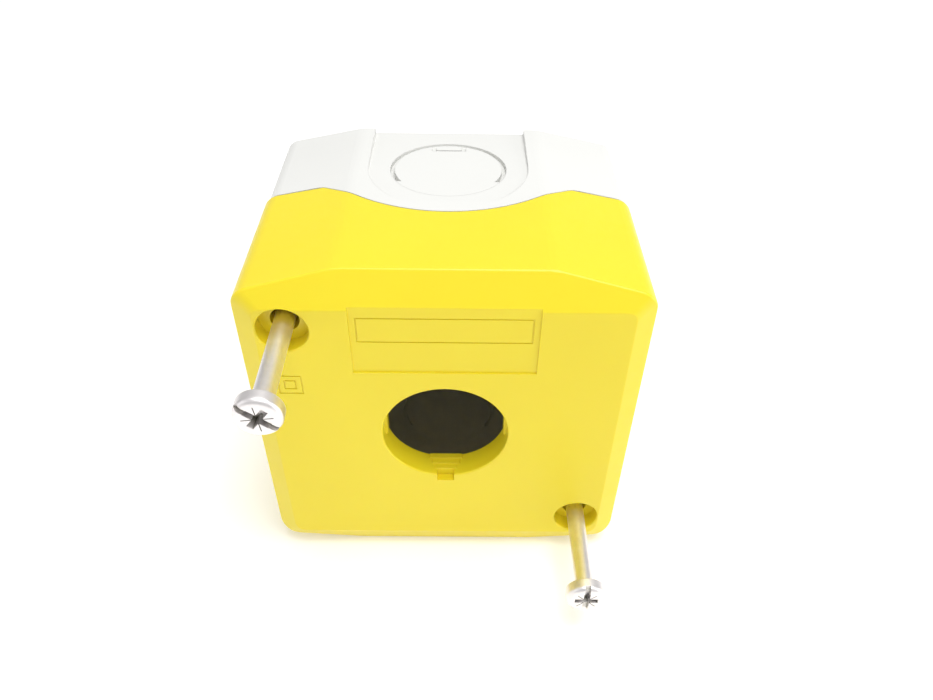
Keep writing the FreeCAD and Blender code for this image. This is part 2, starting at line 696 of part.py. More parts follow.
def make_screw(name, place, left_in, turn):
    """A long pan-head screw with a cross-and-slot drive. Its own origin is under the head, on its axis."""
    body = doc.addObject("PartDesign::Body", name)
    body.Placement = FreeCAD.Placement(FreeCAD.Vector(), FreeCAD.Rotation(AXIS_Y, -turn.value))
    profile = plane_sketch(body, f"{name}_profile", "XY_Plane", 0)
    tip = D.screw_length
    thread_start = D.head_out + D.web_end + D.washer_gap + D.washer_thickness + D.thread_gap
    tip_chamfer = D.thread_radius - D.thread_root_radius
    outline = [
        (0, -D.head_height), (D.head_radius, -D.head_height), (D.head_radius, 0), (D.shank_radius, 0),
        (D.shank_radius, thread_start), (D.thread_radius, thread_start + (D.thread_radius - D.shank_radius)),
        (D.thread_radius, tip - tip_chamfer), (D.thread_root_radius, tip), (0, tip),
    ]
    polyline(profile, outline)
    turned = body.newObject("PartDesign::Revolution", f"{name}_turned")
    turned.Profile = profile
    turned.ReferenceAxis = (profile, ["V_Axis"])
    turned.Angle = 360
    doc.recompute()

    def top_rim(edge):
        return len(edge.Vertexes) == 1 and abs(edge.Vertexes[0].Y + D.head_height.value) < TINY

    rims = [f"Edge{index}" for index, edge in enumerate(turned.Shape.Edges, start=1) if top_rim(edge)]
    rounding = body.newObject("PartDesign::Fillet", f"{name}_rounding")
    rounding.Base = (turned, rims)
    bind(rounding, "Radius", D.head_round)
    blades = [
        ("slot", D.head_radius + CLEAR, D.slot_width / 2, D.slot_depth),
        ("wing", D.cross_reach, D.cross_width / 2, D.cross_depth),
        ("cross", D.cross_width / 2, D.cross_reach, D.cross_depth),
    ]
    for label, half_x, half_z, deep in blades:
        drive = plane_sketch(body, f"{name}_{label}", "XZ_Plane", D.head_height)
        polyline(drive, [(half_x, half_z), (-half_x, half_z), (-half_x, -half_z), (half_x, -half_z)])
        pocket = body.newObject("PartDesign::Pocket", f"{name}_{label}_pocket")
        pocket.Profile = drive
        bind(pocket, "Length", deep)
    bind(body, "Placement.Base.x", place[0])
    bind(body, "Placement.Base.y", depth(-D.head_out + left_in))
    bind(body, "Placement.Base.z", place[1])
    return body


def make_ring(name, radii, place, y):
    """A plain ring round a screw."""
    outside = round_bar(f"{name}_outside", radii[1], place, y)
    hole = round_bar(f"{name}_hole", radii[0], place, (size_of(y[0]) - CLEAR, size_of(y[1]) + CLEAR))
    return cut(name, outside, [hole])


def make_fasteners():
    pieces = []
    insert_start = depth(D.boss_start)
    for name, place in SCREW_PLACES.items():
        left_in = LEFT_IN[name]
        washer_start = depth(D.web_end + D.washer_gap + left_in)
        pieces.append(make_screw(f"{name}_screw", place, left_in, DRIVE_TURNS[name]))
        pieces.append(make_ring(f"{name}_retaining_washer", (D.washer_bore, D.washer_radius), place,
                                (washer_start, washer_start + D.washer_thickness)))
        pieces.append(make_ring(f"{name}_insert", (D.insert_bore, D.insert_radius), place,
                                (insert_start, insert_start + D.insert_length)))
    return pieces


# ---------------------------------------------------------------- assembly

def check_document():
    """Stop if any object of the document failed to recompute."""
    for item in doc.Objects:
        for trouble in ("Invalid", "Error"):
            if trouble in item.State:
                raise RuntimeError(f"{item.Name} is {trouble}")


def write(pieces):
    os.makedirs("parts", exist_ok=True)
    for piece in pieces:
        shape = piece.Shape
        if shape.isNull() or not shape.isValid():
            raise RuntimeError(f"{piece.Label} has no sound shape")
        if len(shape.Solids) != 1:
            raise RuntimeError(f"{piece.Label} has {len(shape.Solids)} solids")
    for piece in pieces:
        piece.Shape.exportStep(f"parts/{piece.Label}.step")
        print(f"{piece.Label:26s} {piece.Shape.Volume:10.1f} mm3  {len(piece.Shape.Faces):4d} faces")


upper_recess = gland_recess()
nodes = [make_lid(), make_gasket(), make_base(upper_recess)]
nodes += make_knockouts(upper_recess)
nodes += make_fasteners()
doc.recompute()
check_document()
write(nodes)
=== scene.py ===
"""Looks of a one-hole control-station enclosure: yellow lid, light grey base, two captive screws.

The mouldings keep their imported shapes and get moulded-plastic finishes. The screws, their retaining
washers and the threaded inserts are turned, threaded and recessed here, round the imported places.
"""

import logging
import math
from collections.abc import Callable, Iterator, Sequence
from contextlib import contextmanager
from dataclasses import dataclass, field
from enum import Enum

import bpy
from mathutils import Matrix, Vector


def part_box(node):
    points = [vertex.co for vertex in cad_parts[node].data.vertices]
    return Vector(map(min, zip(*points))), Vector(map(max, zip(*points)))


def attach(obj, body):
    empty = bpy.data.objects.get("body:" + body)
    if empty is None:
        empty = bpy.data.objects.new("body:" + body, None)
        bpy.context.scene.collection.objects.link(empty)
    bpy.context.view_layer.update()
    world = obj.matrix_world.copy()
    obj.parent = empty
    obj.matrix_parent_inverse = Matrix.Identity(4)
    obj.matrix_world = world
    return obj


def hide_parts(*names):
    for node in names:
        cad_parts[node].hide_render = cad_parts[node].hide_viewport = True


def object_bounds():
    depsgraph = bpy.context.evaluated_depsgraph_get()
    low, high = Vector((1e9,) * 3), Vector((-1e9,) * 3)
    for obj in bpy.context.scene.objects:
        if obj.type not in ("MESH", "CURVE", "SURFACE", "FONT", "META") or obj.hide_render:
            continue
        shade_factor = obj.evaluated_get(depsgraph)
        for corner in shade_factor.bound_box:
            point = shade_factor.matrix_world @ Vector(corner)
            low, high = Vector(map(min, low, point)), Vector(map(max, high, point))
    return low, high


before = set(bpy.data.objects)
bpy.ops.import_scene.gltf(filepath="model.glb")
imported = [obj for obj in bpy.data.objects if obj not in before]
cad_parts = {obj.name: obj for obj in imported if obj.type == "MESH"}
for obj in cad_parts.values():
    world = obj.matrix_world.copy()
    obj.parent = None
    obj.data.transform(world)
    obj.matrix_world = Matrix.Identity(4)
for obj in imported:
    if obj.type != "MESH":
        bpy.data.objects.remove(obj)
CAD_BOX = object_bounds()

MM = 0.001
SAME_PLACE = 1e-7
ROUND_STEPS = 96
SMOOTH_ANGLE = math.radians(32)
FACES_DOWN = -0.9  # a unit normal's height, under which a face counts as facing down
COLOUR_A, COLOUR_B, COLOUR_RESULT = 6, 7, 2  # the colour sockets of a mix node
BEVEL_SAMPLES = 4

log = logging.getLogger("control_station")

Outline = Sequence[tuple[float, float]]


class Slot(Enum):
    """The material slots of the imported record."""

    YELLOW_PLASTIC = "yellow_plastic"
    GREY_PLASTIC = "grey_plastic"
    SEAL_RUBBER = "seal_rubber"
    ZINC_STEEL = "zinc_steel"
    NYLON = "nylon"
    BRASS = "brass"


class Corner(Enum):
    """The two corners of the case that hold a lid screw."""

    UPPER = "upper"
    LOWER = "lower"


SLOT_TURNS = {Corner.UPPER: 142.0, Corner.LOWER: 90.0}  # degrees that each screw's slot was left at


# ---------------------------------------------------------------- modelling helpers


def only(piece: bpy.types.Object) -> None:
    """Select one object alone and make it active.

    Args:
        piece: The object.
    """
    bpy.ops.object.select_all(action="DESELECT")
    piece.select_set(True)
    bpy.context.view_layer.objects.active = piece


@contextmanager
def editing(piece: bpy.types.Object) -> Iterator[None]:
    """Edit mode on one object, with nothing of its mesh selected at the start.

    Args:
        piece: The object to edit.
    """
    only(piece)
    bpy.ops.object.mode_set(mode="EDIT")
    bpy.ops.mesh.select_mode(type="VERT")
    bpy.ops.mesh.select_all(action="DESELECT")
    yield
    bpy.ops.object.mode_set(mode="OBJECT")


def started(name: str) -> bpy.types.Object:
    """Name the primitive that was just added.

    Args:
        name: The name of the object and of its mesh.

    Returns:
        The object.
    """
    piece = bpy.context.view_layer.objects.active
    piece.name = name
    piece.data.name = name
    return piece


def wire(name: str, outline: Outline) -> bpy.types.Object:
    """A chain of edges in the XZ plane, extruded point by point from one vertex.

    Args:
        name: The new object's name.
        outline: Radius and height of each point, in metres.

    Returns:
        The object, with every vertex left selected.
    """
    bpy.ops.object.select_all(action="DESELECT")
    bpy.ops.mesh.primitive_plane_add(size=MM)
    piece = started(name)
    with editing(piece):
        bpy.ops.mesh.select_all(action="SELECT")
        bpy.ops.mesh.merge(type="CENTER")
        radius, height = outline[0]
        bpy.ops.transform.translate(value=(radius, 0, height))
        for (last_radius, last_height), (radius, height) in zip(outline, outline[1:]):
            step = (radius - last_radius, 0, height - last_height)
            bpy.ops.mesh.extrude_region_move(TRANSFORM_OT_translate={"value": step})
        bpy.ops.mesh.select_all(action="SELECT")
    return piece


def closed(piece: bpy.types.Object) -> bpy.types.Object:
    """Merge what coincides, fill what is open and turn the faces outwards.

    Args:
        piece: The object to close.

    Returns:
        The same object.
    """
    with editing(piece):
        bpy.ops.mesh.select_all(action="SELECT")
        bpy.ops.mesh.remove_doubles(threshold=SAME_PLACE)
        bpy.ops.mesh.fill_holes(sides=0)
        bpy.ops.mesh.select_all(action="SELECT")
        bpy.ops.mesh.normals_make_consistent(inside=False)
    return piece


def lathe(name: str, outline: Outline, steps: int = ROUND_STEPS) -> bpy.types.Object:
    """A turned piece round the Z axis.

    Args:
        name: The new object's name.
        outline: Radius and height of each point, from axis to axis or round a ring.
        steps: Facets in a full turn.

    Returns:
        The closed object.
    """
    piece = wire(name, outline)
    only(piece)
    bpy.ops.object.mode_set(mode="EDIT")
    bpy.ops.mesh.select_all(action="SELECT")
    bpy.ops.mesh.spin(steps=steps, angle=math.tau, center=(0, 0, 0), axis=(0, 0, 1))
    bpy.ops.object.mode_set(mode="OBJECT")
    return closed(piece)


def arc(centre: tuple[float, float], radius: float, start: float, end: float,
        steps: int) -> list[tuple[float, float]]:
    """Points of an arc in the XZ plane.

    Args:
        centre: Radius and height of the arc's centre.
        radius: The arc's own radius.
        start: First angle in degrees, from the outward direction towards the front.
        end: Last angle in degrees.
        steps: Number of chords.

    Returns:
        The points, both ends included.
    """
    points = []
    for step in range(steps + 1):
        angle = math.radians(start + (end - start) * step / steps)
        points.append((centre[0] + radius * math.cos(angle), centre[1] + radius * math.sin(angle)))
    return points


def apply_modifier(piece: bpy.types.Object, kind: str, **settings: object) -> None:
    """Add a modifier with its settings and apply it at once.

    Args:
        piece: The object to change.
        kind: The modifier's type.
        **settings: Its properties.
    """
    modifier = piece.modifiers.new(kind.lower(), kind)
    for key, value in settings.items():
        setattr(modifier, key, value)
    only(piece)
    bpy.ops.object.modifier_apply(modifier=modifier.name)


def combine(piece: bpy.types.Object, tool: bpy.types.Object, operation: str) -> None:
    """Join a tool to a piece or cut it out, and remove the tool.

    Args:
        piece: The object that stays.
        tool: The object that is used up.
        operation: UNION or DIFFERENCE.
    """
    apply_modifier(piece, "BOOLEAN", operation=operation, solver="EXACT", object=tool)
    bpy.data.objects.remove(tool)


def tapered_block(name: str, length: float, width: float, top: float, floor: float,
                  floor_share: float, turn: float = 0.0) -> bpy.types.Object:
    """A cutter for a slot or an arm of a recess, narrower at its floor.

    Args:
        name: The new object's name.
        length: Full length across the axis.
        width: Full width at the top.
        top: Height of the upper face, clear of the surface that is cut.
        floor: Height of the lower face.
        floor_share: Size of the lower face as a share of the upper one.
        turn: Degrees round the axis.

    Returns:
        The closed cutter.
    """
    bpy.ops.object.select_all(action="DESELECT")
    bpy.ops.mesh.primitive_cube_add(size=1, location=(0, 0, (top + floor) / 2),
                                    scale=(length, width, top - floor))
    piece = started(name)
    settle(piece)
    with editing(piece):
        bpy.ops.mesh.select_mode(type="FACE")
        select_faces(piece, lambda centre, normal: normal.z < FACES_DOWN)
        bpy.ops.transform.resize(value=(floor_share, floor_share, 1), center_override=(0, 0, floor))
    piece.rotation_euler.z = math.radians(turn)
    settle(piece)
    return piece


def select_faces(piece: bpy.types.Object, wanted: Callable[[Vector, Vector], bool]) -> None:
    """Select the faces that a test on centre and normal picks, in edit mode.

    Args:
        piece: The object in edit mode.
        wanted: The test.
    """
    bpy.ops.object.mode_set(mode="OBJECT")
    picked = [wanted(face.center, face.normal) for face in piece.data.polygons]
    piece.data.polygons.foreach_set("select", picked)
    bpy.ops.object.mode_set(mode="EDIT")


def settle(piece: bpy.types.Object) -> None:
    """Put an object's place, turn and size into its mesh."""
    only(piece)
    bpy.ops.object.transform_apply(location=True, rotation=True, scale=True)


def smooth(piece: bpy.types.Object) -> None:
    """Smooth shading that keeps the sharp edges."""
    only(piece)
    bpy.ops.object.shade_smooth_by_angle(angle=SMOOTH_ANGLE)


# ---------------------------------------------------------------- finishes


class Wiring:
    """The node tree of one finish, wired from its own texture coordinates."""

    def __init__(self, name: str) -> None:
        """Start a material with a principled shader and object coordinates.

        Args:
            name: The material's name.
        """
        self.material = bpy.data.materials.new(name)
        self.material.use_nodes = True
        self.tree = self.material.node_tree
        self.tree.nodes.clear()
        self.output = self.add("ShaderNodeOutputMaterial")
        self.shader = self.add("ShaderNodeBsdfPrincipled")
        self.join(self.shader, "BSDF", self.output, "Surface")
        self.coordinates = self.add("ShaderNodeTexCoord")

    def add(self, kind: str, **settings: object) -> bpy.types.Node:
        """A node with its properties set.

        Args:
            kind: The node's type.
            **settings: Its properties.

        Returns:
            The node.
        """
        node = self.tree.nodes.new(kind)
        for key, value in settings.items():
            setattr(node, key, value)
        return node

    def join(self, source: bpy.types.Node, output: str, target: bpy.types.Node, entry: str | int) -> None:
        """Link one node's output to another's input."""
        self.tree.links.new(source.outputs[output], target.inputs[entry])

    def noise(self, scale: float, detail: float = 3.0, roughness: float = 0.55,
              stretch: tuple[float, float, float] = (1, 1, 1)) -> bpy.types.Node:
        """Noise on object coordinates.

        Args:
            scale: Features per metre, about.
            detail: Octaves.
            roughness: Weight of the finer octaves.
            stretch: Scale of each axis.

        Returns:
            The noise node.
        """
        mapping = self.add("ShaderNodeMapping")
        mapping.inputs["Scale"].default_value = stretch
        self.join(self.coordinates, "Object", mapping, "Vector")
        noise = self.add("ShaderNodeTexNoise")
        noise.inputs["Scale"].default_value = scale
        noise.inputs["Detail"].default_value = detail
        noise.inputs["Roughness"].default_value = roughness
        self.join(mapping, "Vector", noise, "Vector")
        return noise

    def spread(self, source: bpy.types.Node, output: str, low: float, high: float,
               window: tuple[float, float] = (0.3, 0.7)) -> bpy.types.Node:
        """A value remapped to a range.

        Args:
            source: Node that gives the value.
            output: Its output's name.
            low: Result at the window's start.
            high: Result at the window's end.
            window: Values of the source that are used.

        Returns:
            The remapping node.
        """
        node = self.add("ShaderNodeMapRange")
        node.inputs["From Min"].default_value = window[0]
        node.inputs["From Max"].default_value = window[1]
        node.inputs["To Min"].default_value = low
        node.inputs["To Max"].default_value = high
        self.join(source, output, node, "Value")
        return node

    def blend(self, factor: bpy.types.Node, output: str, first: tuple, second: tuple) -> bpy.types.Node:
        """A colour between two, by a factor.

        Args:
            factor: Node that gives the factor.
            output: Its output's name.
            first: Colour at 0.
            second: Colour at 1.

        Returns:
            The mix node.
        """
        mix = self.add("ShaderNodeMix", data_type="RGBA")
        self.tree.links.new(factor.outputs[output], mix.inputs["Factor"])
        for socket, colour in ((COLOUR_A, first), (COLOUR_B, second)):
            mix.inputs[socket].default_value = (*colour, 1)
        return mix

    def bumped(self, height: bpy.types.Node, output: str, distance: float, strength: float,
               before: bpy.types.Node | None = None) -> bpy.types.Node:
        """A bump node, on top of another normal if one is given.

        Args:
            height: Node that gives the height.
            output: Its output's name.
            distance: Depth of the relief, in metres.
            strength: Share of the relief that shows.
            before: Node whose normal is bumped.

        Returns:
            The bump node.
        """
        bump = self.add("ShaderNodeBump")
        bump.inputs["Distance"].default_value = distance
        bump.inputs["Strength"].default_value = strength
        self.join(height, output, bump, "Height")
        if before is not None:
            self.join(before, "Normal", bump, "Normal")
        return bump

    def soft_edges(self, radius: float) -> bpy.types.Node:
        """Normals rounded over sharp edges.

        Args:
            radius: The rounding, in metres.

        Returns:
            The bevel node.
        """
        bevel = self.add("ShaderNodeBevel", samples=BEVEL_SAMPLES)
        bevel.inputs["Radius"].default_value = radius
        return bevel


@dataclass(frozen=True)
class MouldedPlastic:
    """An injection-moulded surface: spark-eroded grain, slow tone drift, soft edges."""

    name: str
    colour: tuple[float, float, float]
    drift: tuple[float, float, float]
    roughness: tuple[float, float]
    grain_per_metre: float = 2600
    grain_depth: float = 0.006 * MM
    edge_radius: float = 0.12 * MM
    drift_per_metre: float = 38
    rub_per_metre: float = 420
    refraction: float = 1.5
    translucency: float = 0.0
    glow_depth: float = 1.2 * MM
    glow_shares: tuple[float, float, float] = (1, 0.5, 0.12)

    def material(self) -> bpy.types.Material:
        """Wire the finish.

        Returns:
            The material.
        """
        wiring = Wiring(self.name)
        shader = wiring.shader
        drift = wiring.noise(scale=self.drift_per_metre, detail=2)
        factor = wiring.spread(drift, "Fac", 0, 1)
        colour = wiring.blend(factor, "Result", self.colour, self.drift)
        wiring.tree.links.new(colour.outputs[COLOUR_RESULT], shader.inputs["Base Color"])
        rubbed = wiring.noise(scale=self.rub_per_metre, detail=4)
        wiring.join(wiring.spread(rubbed, "Fac", *self.roughness), "Result", shader, "Roughness")
        edges = wiring.soft_edges(self.edge_radius)
        grain = wiring.noise(scale=self.grain_per_metre, detail=2)
        surface = wiring.bumped(grain, "Fac", self.grain_depth, 1.0, before=edges)
        wiring.join(surface, "Normal", shader, "Normal")
        shader.inputs["IOR"].default_value = self.refraction
        shader.inputs["Subsurface Weight"].default_value = self.translucency
        shader.inputs["Subsurface Radius"].default_value = self.glow_shares
        shader.inputs["Subsurface Scale"].default_value = self.glow_depth
        return wiring.material


@dataclass(frozen=True)
class PlatedSteel:
    """A turned metal surface: rings left by the tool, faint specks, painted shade in sheltered corners."""

    name: str
    colour: tuple[float, float, float]
    tint: tuple[float, float, float]
    roughness: tuple[float, float]
    ring_stretch: tuple[float, float, float] = (0.25, 7.0, 0.25)
    edge_radius: float = 0.07 * MM
    # colour of the painted shade laid into recesses and under the head, where shade falls
    painted_shade: tuple[float, float, float] = (0.24, 0.24, 0.19)
    shade_reach: float = 0.9 * MM
    shade_window: tuple[float, float] = (0.45, 0.8)
    shade_samples: int = 8
    cloud_per_metre: float = 900
    ring_per_metre: float = 700
    ring_depth: float = 0.002 * MM
    ring_strength: float = 0.4
    speck_per_metre: float = 5200
    speck_depth: float = 0.003 * MM
    speck_strength: float = 0.6

    def material(self) -> bpy.types.Material:
        """Wire the finish.

        Returns:
            The material.
        """
        wiring = Wiring(self.name)
        shader = wiring.shader
        shader.inputs["Metallic"].default_value = 1.0
        clouds = wiring.noise(scale=self.cloud_per_metre, detail=3)
        plated = wiring.blend(wiring.spread(clouds, "Fac", 0, 1), "Result", self.colour, self.tint)
        # painted shade: an occlusion node darkens the metal's colour towards a dark grey in the recess and
        # under the head
        occlusion = wiring.add("ShaderNodeAmbientOcclusion", samples=self.shade_samples, only_local=True)
        occlusion.inputs["Distance"].default_value = self.shade_reach
        shade_factor = wiring.spread(occlusion, "AO", 0, 1, window=self.shade_window)
        # the plated colour, linked below, takes the place of this blend's second colour
        colour = wiring.blend(shade_factor, "Result", self.painted_shade, self.tint)
        wiring.tree.links.new(plated.outputs[COLOUR_RESULT], colour.inputs[COLOUR_B])
        wiring.tree.links.new(colour.outputs[COLOUR_RESULT], shader.inputs["Base Color"])
        rings = wiring.noise(scale=self.ring_per_metre, detail=4, stretch=self.ring_stretch)
        wiring.join(wiring.spread(rings, "Fac", *self.roughness), "Result", shader, "Roughness")
        edges = wiring.soft_edges(self.edge_radius)
        turned = wiring.bumped(rings, "Fac", self.ring_depth, self.ring_strength, before=edges)
        specks = wiring.noise(scale=self.speck_per_metre, detail=2)
        surface = wiring.bumped(specks, "Fac", self.speck_depth, self.speck_strength, before=turned)
        wiring.join(surface, "Normal", shader, "Normal")
        return wiring.material


@dataclass(frozen=True)
class SealRubber:
    """Matt black rubber with a fine bloom."""

    name: str
    colour: tuple[float, float, float]
    bloom: tuple[float, float, float]
    roughness: tuple[float, float] = (0.62, 0.8)
    dust_per_metre: float = 600
    grain_per_metre: float = 3000
    grain_depth: float = 0.02 * MM
    grain_strength: float = 0.6

    def material(self) -> bpy.types.Material:
        """Wire the finish.

        Returns:
            The material.
        """
        wiring = Wiring(self.name)
        shader = wiring.shader
        dust = wiring.noise(scale=self.dust_per_metre, detail=5)
        colour = wiring.blend(wiring.spread(dust, "Fac", 0, 1), "Result", self.colour, self.bloom)
        wiring.tree.links.new(colour.outputs[COLOUR_RESULT], shader.inputs["Base Color"])
        wiring.join(wiring.spread(dust, "Fac", *self.roughness), "Result", shader, "Roughness")
        grain = wiring.noise(scale=self.grain_per_metre, detail=2)
        surface = wiring.bumped(grain, "Fac", self.grain_depth, self.grain_strength)
        wiring.join(surface, "Normal", shader, "Normal")
        return wiring.material


FINISHES = {
    Slot.YELLOW_PLASTIC: MouldedPlastic("yellow_moulding", (0.82, 0.672, 0.018), (0.805, 0.652, 0.016),
                                        (0.30, 0.40), translucency=0.15),
    Slot.GREY_PLASTIC: MouldedPlastic("light_grey_moulding", (0.72, 0.72, 0.695), (0.70, 0.70, 0.675),
                                      (0.38, 0.48), edge_radius=0.22 * MM),
    Slot.SEAL_RUBBER: SealRubber("black_seal_rubber", (0.012, 0.012, 0.013), (0.03, 0.03, 0.032)),
    Slot.ZINC_STEEL: PlatedSteel("bright_zinc", (0.86, 0.83, 0.828), (0.80, 0.77, 0.768), (0.36, 0.48)),
    Slot.NYLON: MouldedPlastic("natural_nylon", (0.74, 0.71, 0.62), (0.70, 0.66, 0.56), (0.35, 0.5),
                               translucency=0.3),
    Slot.BRASS: PlatedSteel("turned_brass", (0.76, 0.55, 0.24), (0.66, 0.46, 0.19), (0.2, 0.36)),
}


class Finisher:
    """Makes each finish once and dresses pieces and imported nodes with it."""

    def __init__(self) -> None:
        """Start with no material made."""
        self.made: dict[Slot, bpy.types.Material] = {}

    def material(self, slot: Slot) -> bpy.types.Material:
        """The material of a slot, made when first asked for.

        Args:
            slot: The record's material slot.

        Returns:
            The material.
        """
        if slot not in self.made:
            self.made[slot] = FINISHES[slot].material()
        return self.made[slot]

    def dress(self, piece: bpy.types.Object, slot: Slot) -> None:
        """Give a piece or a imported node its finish."""
        piece.data.materials.clear()
        piece.data.materials.append(self.material(slot))


# ---------------------------------------------------------------- sub-assemblies


def hand_over(piece: bpy.types.Object, node: str, body: str) -> None:
    """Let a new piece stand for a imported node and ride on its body.

    Args:
        piece: The finished piece.
        node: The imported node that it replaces.
        body: The body that it rides on.
    """
    settle(piece)
    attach(piece, body)
    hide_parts(node)
    log.info("%s stands for %s on %s, %d faces", piece.name, node, body, len(piece.data.polygons))


def face_forwards(piece: bpy.types.Object, place: Vector, turn: float = 0.0) -> None:
    """Turn a piece made round +Z so that +Z points out of the case's face, and put it in place.

    Args:
        piece: The piece, made round the Z axis.
        place: Where its origin goes.
        turn: Degrees round its own axis first.
    """
    onto_axis = Matrix.Rotation(math.pi / 2, 4, "X") @ Matrix.Rotation(math.radians(turn), 4, "Z")
    piece.matrix_world = Matrix.Translation(place) @ onto_axis


@dataclass
class Thread:
    """A helical ridge on a core, or inside a bore."""

    pitch: float = 0.7 * MM
    root_radius: float = 1.58 * MM
    crest_radius: float = 1.96 * MM
    sunk: float = 0.05 * MM
    flank_half: float = 0.31 * MM
    crest_half: float = 0.06 * MM
    steps: int = 48

    def ridge(self, name: str, start: float, turns: int) -> bpy.types.Object:
        """Sweep the ridge's section along the helix.

        Args:
            name: The new object's name.
            start: Height of the first turn's middle, the others going down from there.
            turns: Number of turns.

        Returns:
            The closed ridge.
        """
        inward = -1 if self.crest_radius > self.root_radius else 1
        root = self.root_radius + inward * self.sunk
        section = [
            (root, start + self.flank_half),
            (self.crest_radius, start + self.crest_half),
            (self.crest_radius, start - self.crest_half),
            (root, start - self.flank_half),
            (root, start + self.flank_half),
        ]
        piece = wire(name, section)
        with editing(piece):
            bpy.ops.mesh.select_all(action="SELECT")
            bpy.ops.mesh.remove_doubles(threshold=SAME_PLACE)
        apply_modifier(piece, "SCREW", axis="Z", angle=math.tau, screw_offset=-self.pitch, iterations=turns,
                       steps=self.steps, render_steps=self.steps)
        return closed(piece)


@dataclass
class CaptiveScrew:
    """A long pan-head screw with a cross recess, radial ticks and a full-width slot."""

    corner: Corner
    turn: float
    head_height: float = 2.5 * MM
    rim_round: float = 0.9 * MM
    rim_steps: int = 10
    under_chamfer: float = 0.12 * MM
    neck_round: float = 0.12 * MM
    neck_steps: int = 4
    shank_radius: float = 1.7 * MM
    shank_length: float = 25.3 * MM
    slot_width: float = 0.98 * MM
    slot_depth: float = 0.9 * MM
    arm_width: float = 1.2 * MM
    arm_reach: float = 2.25 * MM
    recess_depth: float = 1.85 * MM
    tick_reach: float = 2.6 * MM
    tick_width: float = 0.15 * MM
    tick_depth: float = 0.22 * MM
    slot_taper: float = 0.96
    arm_taper: float = 0.72
    tick_taper: float = 0.9
    above_head: float = 0.5 * MM
    tip_chamfer: float = 0.45 * MM
    thread: Thread = field(default_factory=Thread)

    def make(self, finisher: Finisher) -> bpy.types.Object:
        """Turn, recess, thread, dress and place the screw.

        Args:
            finisher: What dresses it.

        Returns:
            The finished screw.
        """
        node = f"{self.corner.value}_screw"
        low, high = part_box(node)
        centre = (low + high) / 2
        head_radius = max(high.x - low.x, high.z - low.z) / 2
        length = high.y - low.y - self.head_height
        piece = self.turned(f"{node}_turned", head_radius, length)
        self.cut_drive(piece, head_radius)
        self.add_thread(piece, length)
        closed(piece)
        smooth(piece)
        finisher.dress(piece, Slot.ZINC_STEEL)
        face_forwards(piece, Vector((centre.x, low.y + self.head_height, centre.z)), self.turn)
        hand_over(piece, node, node)
        return piece

    def turned(self, name: str, head_radius: float, length: float) -> bpy.types.Object:
        """The head, the shank and the thread's core in one turning.

        Args:
            name: The new object's name.
            head_radius: Radius of the head.
            length: From under the head to the tip.

        Returns:
            The closed turning.
        """
        top = self.head_height
        flat = head_radius - self.rim_round
        core = self.thread.root_radius
        outline = [(0, top)]
        rim = arc((flat, top - self.rim_round), self.rim_round, 90, 0, self.rim_steps)
        neck_centre = (self.shank_radius + self.neck_round, -self.neck_round)
        neck = arc(neck_centre, self.neck_round, 90, 180, self.neck_steps)
        outline += rim
        outline += [(head_radius, self.under_chamfer), (head_radius - self.under_chamfer, 0)]
        outline += neck
        outline += [
            (self.shank_radius, -self.shank_length),
            (core, -self.shank_length - (self.shank_radius - core)),
            (core, -length + self.tip_chamfer),
            (core - self.tip_chamfer, -length),
            (0, -length),
        ]
        return lathe(name, outline)

    def cut_drive(self, piece: bpy.types.Object, head_radius: float) -> None:
        """Cut the slot right across the head, the four-armed recess and the ticks between its arms.

        Args:
            piece: The turned screw.
            head_radius: Radius of its head.
        """
        top = self.head_height + self.above_head
        clear = head_radius * 2 + self.above_head * 2
        blades = [tapered_block("slot_blade", clear, self.slot_width, top,
                                self.head_height - self.slot_depth, self.slot_taper)]
        for turn in (0, 90):
            blades.append(tapered_block(f"arm_blade_{turn}", self.arm_reach * 2, self.arm_width, top,
                                        self.head_height - self.recess_depth, self.arm_taper, turn))
        for turn in (45, 135):
            blades.append(tapered_block(f"tick_blade_{turn}", self.tick_reach * 2, self.tick_width, top,
                                        self.head_height - self.tick_depth, self.tick_taper, turn))
        for blade in blades:
            combine(piece, blade, "DIFFERENCE")

    def add_thread(self, piece: bpy.types.Object, length: float) -> None:
        """Add the rolled thread, from the end of the shank to the tip.

        Args:
            piece: The turned screw.
            length: From under the head to the tip.
        """
        start = -self.shank_length - self.thread.pitch
        turns = int((length + start - self.tip_chamfer) / self.thread.pitch)
        combine(piece, self.thread.ridge("screw_ridge", start, turns), "UNION")


@dataclass
class RetainingWasher:
    """The nylon washer that keeps a screw in the lid, with its edges rounded."""

    corner: Corner
    bore_radius: float = 1.75 * MM
    edge: float = 0.16 * MM
    edge_steps: int = 4

    def make(self, finisher: Finisher) -> bpy.types.Object:
        """Turn, dress and place the washer.

        Args:
            finisher: What dresses it.

        Returns:
            The finished washer.
        """
        node = f"{self.corner.value}_retaining_washer"
        low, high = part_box(node)
        centre = (low + high) / 2
        outer = (high.x - low.x) / 2
        half = (high.y - low.y) / 2
        inner = self.bore_radius
        edge = self.edge
        outline = arc((outer - edge, half - edge), edge, 90, 0, self.edge_steps)
        outline += arc((outer - edge, edge - half), edge, 0, -90, self.edge_steps)
        outline += [(inner + edge, -half), (inner, edge - half), (inner, half - edge), (inner + edge, half)]
        outline.append(outline[0])
        piece = lathe(f"{node}_turned", outline)
        smooth(piece)
        finisher.dress(piece, Slot.NYLON)
        face_forwards(piece, centre)
        hand_over(piece, node, f"{self.corner.value}_washer")
        return piece


